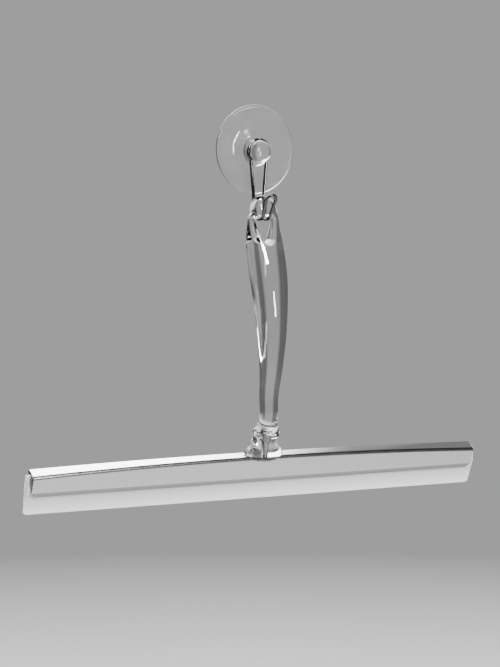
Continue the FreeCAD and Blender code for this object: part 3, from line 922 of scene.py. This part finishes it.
def foot_piece():
    """Ovals (W cos a, D sin a) down to the channel, whose half thickness is F + slope (z - Z), then
    up its face and across its crown to y = 0, where the front and the back half meet."""
    profile, rim_rows = foot_profile()
    angle = (np.arange(144) + 0.5) * 2 * math.pi / 144
    length, depth, level = (profile[:, i:i + 1] for i in range(3))

    def face(level):
        return FOLD_HALF + SEAT_PLAY + FACE_SLOPE * (level - LIP_HIGH)

    seat = CROWN + SEAT_PLAY
    outside = np.maximum(np.abs(depth * np.sin(angle)) - face(level), level - seat)
    row = np.argmax(outside < 0, axis=0)
    column = np.arange(len(angle))
    above, below = outside[row - 1, column], outside[row, column]
    last = row - 1 + above / (above - below)
    rows = np.concatenate([
        np.arange(rim_rows)[:, None] + 0 * last,
        rim_rows - 1 + (last - rim_rows + 1) * np.linspace(0, 1, 70)[1:, None],
    ])
    index = np.arange(len(profile))
    x = np.interp(rows, index, profile[:, 0]) * np.cos(angle)
    y = np.interp(rows, index, profile[:, 1]) * np.sin(angle)
    z = np.interp(rows, index, profile[:, 2])
    side = np.sign(y[-1])
    climb = np.linspace(0, 1, 10)[1:, None]
    up_z = z[-1] + (seat - z[-1]) * climb
    up_y = side * (np.abs(y[-1]) + face(up_z) - face(z[-1]))
    over_y = up_y[-1] * (1 - climb)
    flat = np.ones_like(climb)
    grid = np.stack([
        np.concatenate([x, x[-1] * flat, x[-1] * flat]),
        np.concatenate([y, up_y, over_y]),
        np.concatenate([z, up_z, seat * flat + 0 * x[-1]]),
    ], -1)
    count = grid.shape[1]
    points = np.concatenate([grid.reshape(-1, 3), grid[:1].mean(1)])
    faces = [grid_faces(*grid.shape[:2]), fan_faces(np.arange(count), len(points) - 1)[:, ::-1]]
    return make_piece("handle_foot_clear", in_head(points) * MM, faces, weld=1e-7)


foot = foot_piece()
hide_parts("handle_foot")
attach(foot, "squeegee")

# %% [markdown]
# ### Its finish: thick acrylic with painted shade
# It is the same plastic as the handle's. In so short and thick a piece the light makes several
# turns, and it looks a little smoky; that darkness is painted into its colour as painted shade,
# darker and greyer than the handle's.

# %% Thick acrylic
# Painted shade: a grey base colour darkens this clear plastic, against the handle's near-white one
thick_acrylic_painted_shade, tree, shader = new_finish(
    "thick acrylic with painted shade", (0.80, 0.81, 0.82), 0.02, IOR=1.49, Transmission_Weight=1.0
)
worn = pattern(tree, 500, detail=4)
tree.links.new(spread(tree, worn, 0.0, 0.05, 0.45, 0.75), shader.inputs["Roughness"])
tree.links.new(
    tint(tree, pattern(tree, 80), (0.74, 0.75, 0.77), (0.82, 0.83, 0.84)), shader.inputs["Base Color"]
)
relief(tree, shader, pattern(tree, 120, detail=1), 0.0001, 0.3)
dress(foot, thick_acrylic_painted_shade)

# %% [markdown]
# ## The blade
# The blade is an extruded strip of clear white silicone: a thick root in the channel, a neck
# between the lips and a long taper to the wiping edge. It stands out a little past the channel at
# both ends, and the ends' lower corners are rounded.

# %% Blade
BLADE_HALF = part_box("squeegee_blade")[1][0] / MM
EDGE_HALF = 0.5
NECK_HALF = 1.35
ROOT_HALF = 2.2
ROOT_FRONT = 22.6
ROOT_BACK = 24.6
ROOT_SET_BACK = 1.8
BLADE_CORNER = 2.0


def blade_piece():
    """Left and right halves of one section, carried along the head, with the ends closed between
    them. The half length at a level follows the rounded lower corner."""
    levels = [0, 0.9, LIP_LOW, LIP_LOW + 0.9, LIP_HIGH + 0.8]
    halves = [EDGE_HALF - 0.18, EDGE_HALF + 0.05, NECK_HALF, NECK_HALF, ROOT_HALF]
    radii = [0, 0.5, 1.0, 0.5, 0.8, 1.0, 0]
    corner = ROOT_HALF - ROOT_SET_BACK
    middle = ROOT_FRONT + (ROOT_BACK - ROOT_FRONT) * corner / (corner + ROOT_HALF)
    front = np.stack([-np.array([*halves, corner, 0]), np.array([*levels, ROOT_FRONT, middle])], -1)
    behind = np.stack([np.array([*halves, ROOT_HALF, 0]), np.array([*levels, ROOT_BACK, middle])], -1)
    one_side = rounded_outline(front, radii, steps=6)
    other_side = rounded_outline(behind, radii, steps=6)
    outline = np.concatenate([one_side, other_side[::-1]])
    station = np.sin(np.linspace(-math.pi / 2, math.pi / 2, 121))[:, None]
    reach = end_reach(outline[:, 1], BLADE_HALF, -0.01, BLADE_CORNER)
    x = station * reach[None, :]
    section = np.broadcast_to(outline, (len(station), *outline.shape))
    rings = in_head(np.concatenate([x[..., None], section], -1))
    piece = bar_piece("squeegee_blade_strip", rings * MM)
    # Painted light: the colour is made lighter within 1.4 mm of the wiping edge
    edge_painted_light = ease(1.4 - outline[:, 1] / 1.4)
    point_values(piece, "edge_painted_light", np.tile(edge_painted_light, len(rings)))
    return piece


blade = blade_piece()
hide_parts("squeegee_blade")
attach(blade, "blade")

# %% [markdown]
# ### Its finish: white silicone
# The silicone lets light in and scatters it, so it looks soft and a little milky, with a satin
# surface. Along the thin edge its colour is painted lighter, as painted light where the edge glows.
# Extrusion leaves very faint lines along it.

# %% White silicone
silicone, tree, shader = new_finish(
    "white silicone", (0.86, 0.87, 0.88), 0.35, Subsurface_Weight=0.5, Subsurface_Scale=0.004
)
shader.inputs["Subsurface Radius"].default_value = (1.0, 0.95, 0.9)
drawn = pattern(tree, 1.0, stretch=(6, 1500, 1500), detail=3)
tree.links.new(spread(tree, drawn, 0.28, 0.42), shader.inputs["Roughness"])
cloudy = tint(tree, pattern(tree, 25), (0.50, 0.51, 0.515), (0.54, 0.55, 0.55))
# Painted light along the thin edge
with_painted_edge_light = tint(tree, stored(tree, "edge_painted_light"), cloudy, (0.72, 0.725, 0.72))
tree.links.new(with_painted_edge_light, shader.inputs["Base Color"])
relief(tree, shader, drawn, 0.00003, 0.4)
dress(blade, silicone)

# %% [markdown]
# ## Small pieces that keep the frame's mesh
# The screw, its washer and the threaded insert are turned metal, and the packing strips are plain
# white moulding. Their shapes are already right, so they only get their finishes. The metal is
# painted dark, as painted shade, so that the screw and the insert inside the foot show as its
# shaded middle.

# %% Metal and plastic for the small pieces
# Painted shade: the steel is given a dark colour, so that the screw and washer inside the foot look dark
steel, tree, shader = new_finish("stainless steel with painted shade", (0.34, 0.335, 0.33), 0.3, Metallic=1.0)
turned = pattern(tree, 2500, detail=4)
tree.links.new(spread(tree, turned, 0.2, 0.42), shader.inputs["Roughness"])
relief(tree, shader, turned, 0.00001, 0.4)
dress(frame["nodes"]["foot_screw"], steel)
dress(frame["nodes"]["screw_washer"], steel)

# Painted shade: the nickel is given a dark colour, so that the insert inside the foot looks dark
nickel, tree, shader = new_finish("nickel plate with painted shade", (0.30, 0.29, 0.28), 0.25, Metallic=1.0)
knurl = pattern(tree, 3000, detail=2)
tree.links.new(spread(tree, knurl, 0.15, 0.35), shader.inputs["Roughness"])
relief(tree, shader, knurl, 0.00002, 0.5)
dress(frame["nodes"]["handle_insert"], nickel)

packing, tree, shader = new_finish("white packing", (0.8, 0.8, 0.79), 0.5)
grain = pattern(tree, 1800, detail=4)
tree.links.new(spread(tree, grain, 0.4, 0.6), shader.inputs["Roughness"])
tree.links.new(tint(tree, grain, (0.76, 0.76, 0.75), (0.84, 0.84, 0.83)), shader.inputs["Base Color"])
relief(tree, shader, grain, 0.00003, 0.4)
dress(frame["nodes"]["packing_strips"], packing)

# %% [markdown]
# ## The stage
# A pale floor lies well below the squeegee, as under a product hung in a studio. A wall behind it
# would hide it from the back, so there is none: the floor fades out into a plain pale backdrop.
# Clear plastic and chrome show nothing but their surroundings, so the world is a studio too: pale
# straight behind the object and at its sides, dim elsewhere, and very bright overhead behind it
# and to its left, where the crown of the channel looks. Only reflections and refractions see that.
# The camera itself sees the plain backdrop.

# %% Floor
FLOOR_LEVEL = -0.50
FLOOR_RADIUS = 4.0


def studio_floor():
    """Flat disc of rings, radius r = R * k^1.5."""
    radius = FLOOR_RADIUS * np.linspace(0.01, 1, 24)[:, None] ** 1.5
    angle = np.linspace(0, 2 * math.pi, 96, endpoint=False)[None, :]
    rings = np.stack([radius * np.cos(angle), radius * np.sin(angle), 0 * radius * angle + FLOOR_LEVEL], -1)
    mesh = bpy.data.meshes.new("studio_floor")
    faces = grid_faces(*rings.shape[:2]).tolist() + [list(range(96))]
    mesh.from_pydata(rings.reshape(-1, 3).tolist(), [], faces)
    mesh.validate()
    floor = bpy.data.objects.new("studio_floor", mesh)
    bpy.context.scene.collection.objects.link(floor)
    return floor


floor = studio_floor()
paper, tree, shader = new_finish("floor paper", (0.6, 0.6, 0.605), 0.9)
place = tree.nodes.new("ShaderNodeTexCoord")
length = tree.nodes.new("ShaderNodeVectorMath")
length.operation = "LENGTH"
tree.links.new(place.outputs["Object"], length.inputs[0])
fade = spread(tree, length.outputs["Value"], 1.0, 0.0, 0.25, 1.8)
tree.links.new(fade, shader.inputs["Alpha"])
dress(floor, paper)


# %% Lights
def soft_light(name, place, aim_at, size, power):
    """Rectangular area light at a place, turned to a point."""
    data = bpy.data.lights.new(name, "AREA")
    data.shape = "RECTANGLE"
    data.size, data.size_y = size
    data.energy = power
    lamp = bpy.data.objects.new(name, data)
    lamp.location = place
    lamp.rotation_mode = "QUATERNION"
    lamp.rotation_quaternion = (Vector(place) - aim_at).to_track_quat("Z", "Y")
    bpy.context.scene.collection.objects.link(lamp)


# The first lamp gives the long highlight down the handle, the second the small ones on the cup and
# under the eye, and the third lights the floor and the tops of the pieces
middle = Vector((0.0, 0.0, -0.1))
soft_light("window", (1.16, -3.80, 0.36), middle, (0.42, 0.90), 75)
soft_light("high", (0.28, -1.40, 0.86), middle, (0.28, 0.18), 20)
soft_light("top", (-0.5, -0.2, 1.5), middle, (0.8, 0.5), 12)

# %% World
world = bpy.data.worlds.new("studio")
bpy.context.scene.world = world
world.use_nodes = True
tree = world.node_tree
tree.nodes.clear()
output = tree.nodes.new("ShaderNodeOutputWorld")
around = tree.nodes.new("ShaderNodeTexCoord")
parts = tree.nodes.new("ShaderNodeSeparateXYZ")
tree.links.new(around.outputs["Generated"], parts.inputs["Vector"])


def calculate(operation, *values):
    """One Math node; an input may be a number or a socket."""
    node = tree.nodes.new("ShaderNodeMath")
    node.operation = operation
    for socket, value in zip(node.inputs, values):
        if isinstance(value, (int, float)):
            socket.default_value = value
        else:
            tree.links.new(value, socket)
    return node.outputs["Value"]


def band(value, start, end):
    """Smooth step of a socket from 0 at start to 1 at end."""
    node = tree.nodes.new("ShaderNodeMapRange")
    node.interpolation_type = "SMOOTHSTEP"
    tree.links.new(value, node.inputs["Value"])
    node.inputs["From Min"].default_value = start
    node.inputs["From Max"].default_value = end
    return node.outputs["Result"]


BACKDROP = 0.34
DIM_SHARE = 0.38
SIDE_SHARE = 0.9
OVERHEAD_LOSS = 0.45
RIGHT_LOSS = 0.97
SKY = 5.0
turn = calculate("ARCTAN2", parts.outputs["Y"], parts.outputs["X"])
ahead = calculate("COSINE", calculate("SUBTRACT", turn, math.pi / 2 + VIEW_AZIMUTH))
behind_it = band(ahead, 0.93, 0.98)
at_sides = calculate("MULTIPLY", band(ahead, -0.6, -0.3), band(ahead, 0.45, 0.20))
light_share = calculate("MULTIPLY_ADD", at_sides, SIDE_SHARE, behind_it)
level = calculate("MULTIPLY_ADD", light_share, BACKDROP * (1 - DIM_SHARE), BACKDROP * DIM_SHARE)
overhead = band(parts.outputs["Z"], 0.24, 0.40)
to_right = band(parts.outputs["X"], 0.47, 0.555)
to_front = band(parts.outputs["Y"], 0.12, -0.05)
sky = calculate("MULTIPLY", overhead, calculate("SUBTRACT", 1.0, to_front))
sky = calculate("MULTIPLY", sky, calculate("MULTIPLY_ADD", to_right, -RIGHT_LOSS, 1.0))
level = calculate("MULTIPLY", level, calculate("MULTIPLY_ADD", overhead, -OVERHEAD_LOSS, 1.0))
level = calculate("MULTIPLY_ADD", sky, SKY, level)
rays = tree.nodes.new("ShaderNodeLightPath")
surround = tree.nodes.new("ShaderNodeBackground")
backdrop = tree.nodes.new("ShaderNodeBackground")
backdrop.inputs["Color"].default_value = (1.0, 1.0, 1.01, 1)
backdrop.inputs["Strength"].default_value = BACKDROP
surround.inputs["Color"].default_value = (1.0, 1.0, 1.0, 1)
tree.links.new(level, surround.inputs["Strength"])
choose = tree.nodes.new("ShaderNodeMixShader")
tree.links.new(rays.outputs["Is Camera Ray"], choose.inputs["Fac"])
tree.links.new(surround.outputs["Background"], choose.inputs[1])
tree.links.new(backdrop.outputs["Background"], choose.inputs[2])
tree.links.new(choose.outputs["Shader"], output.inputs["Surface"])
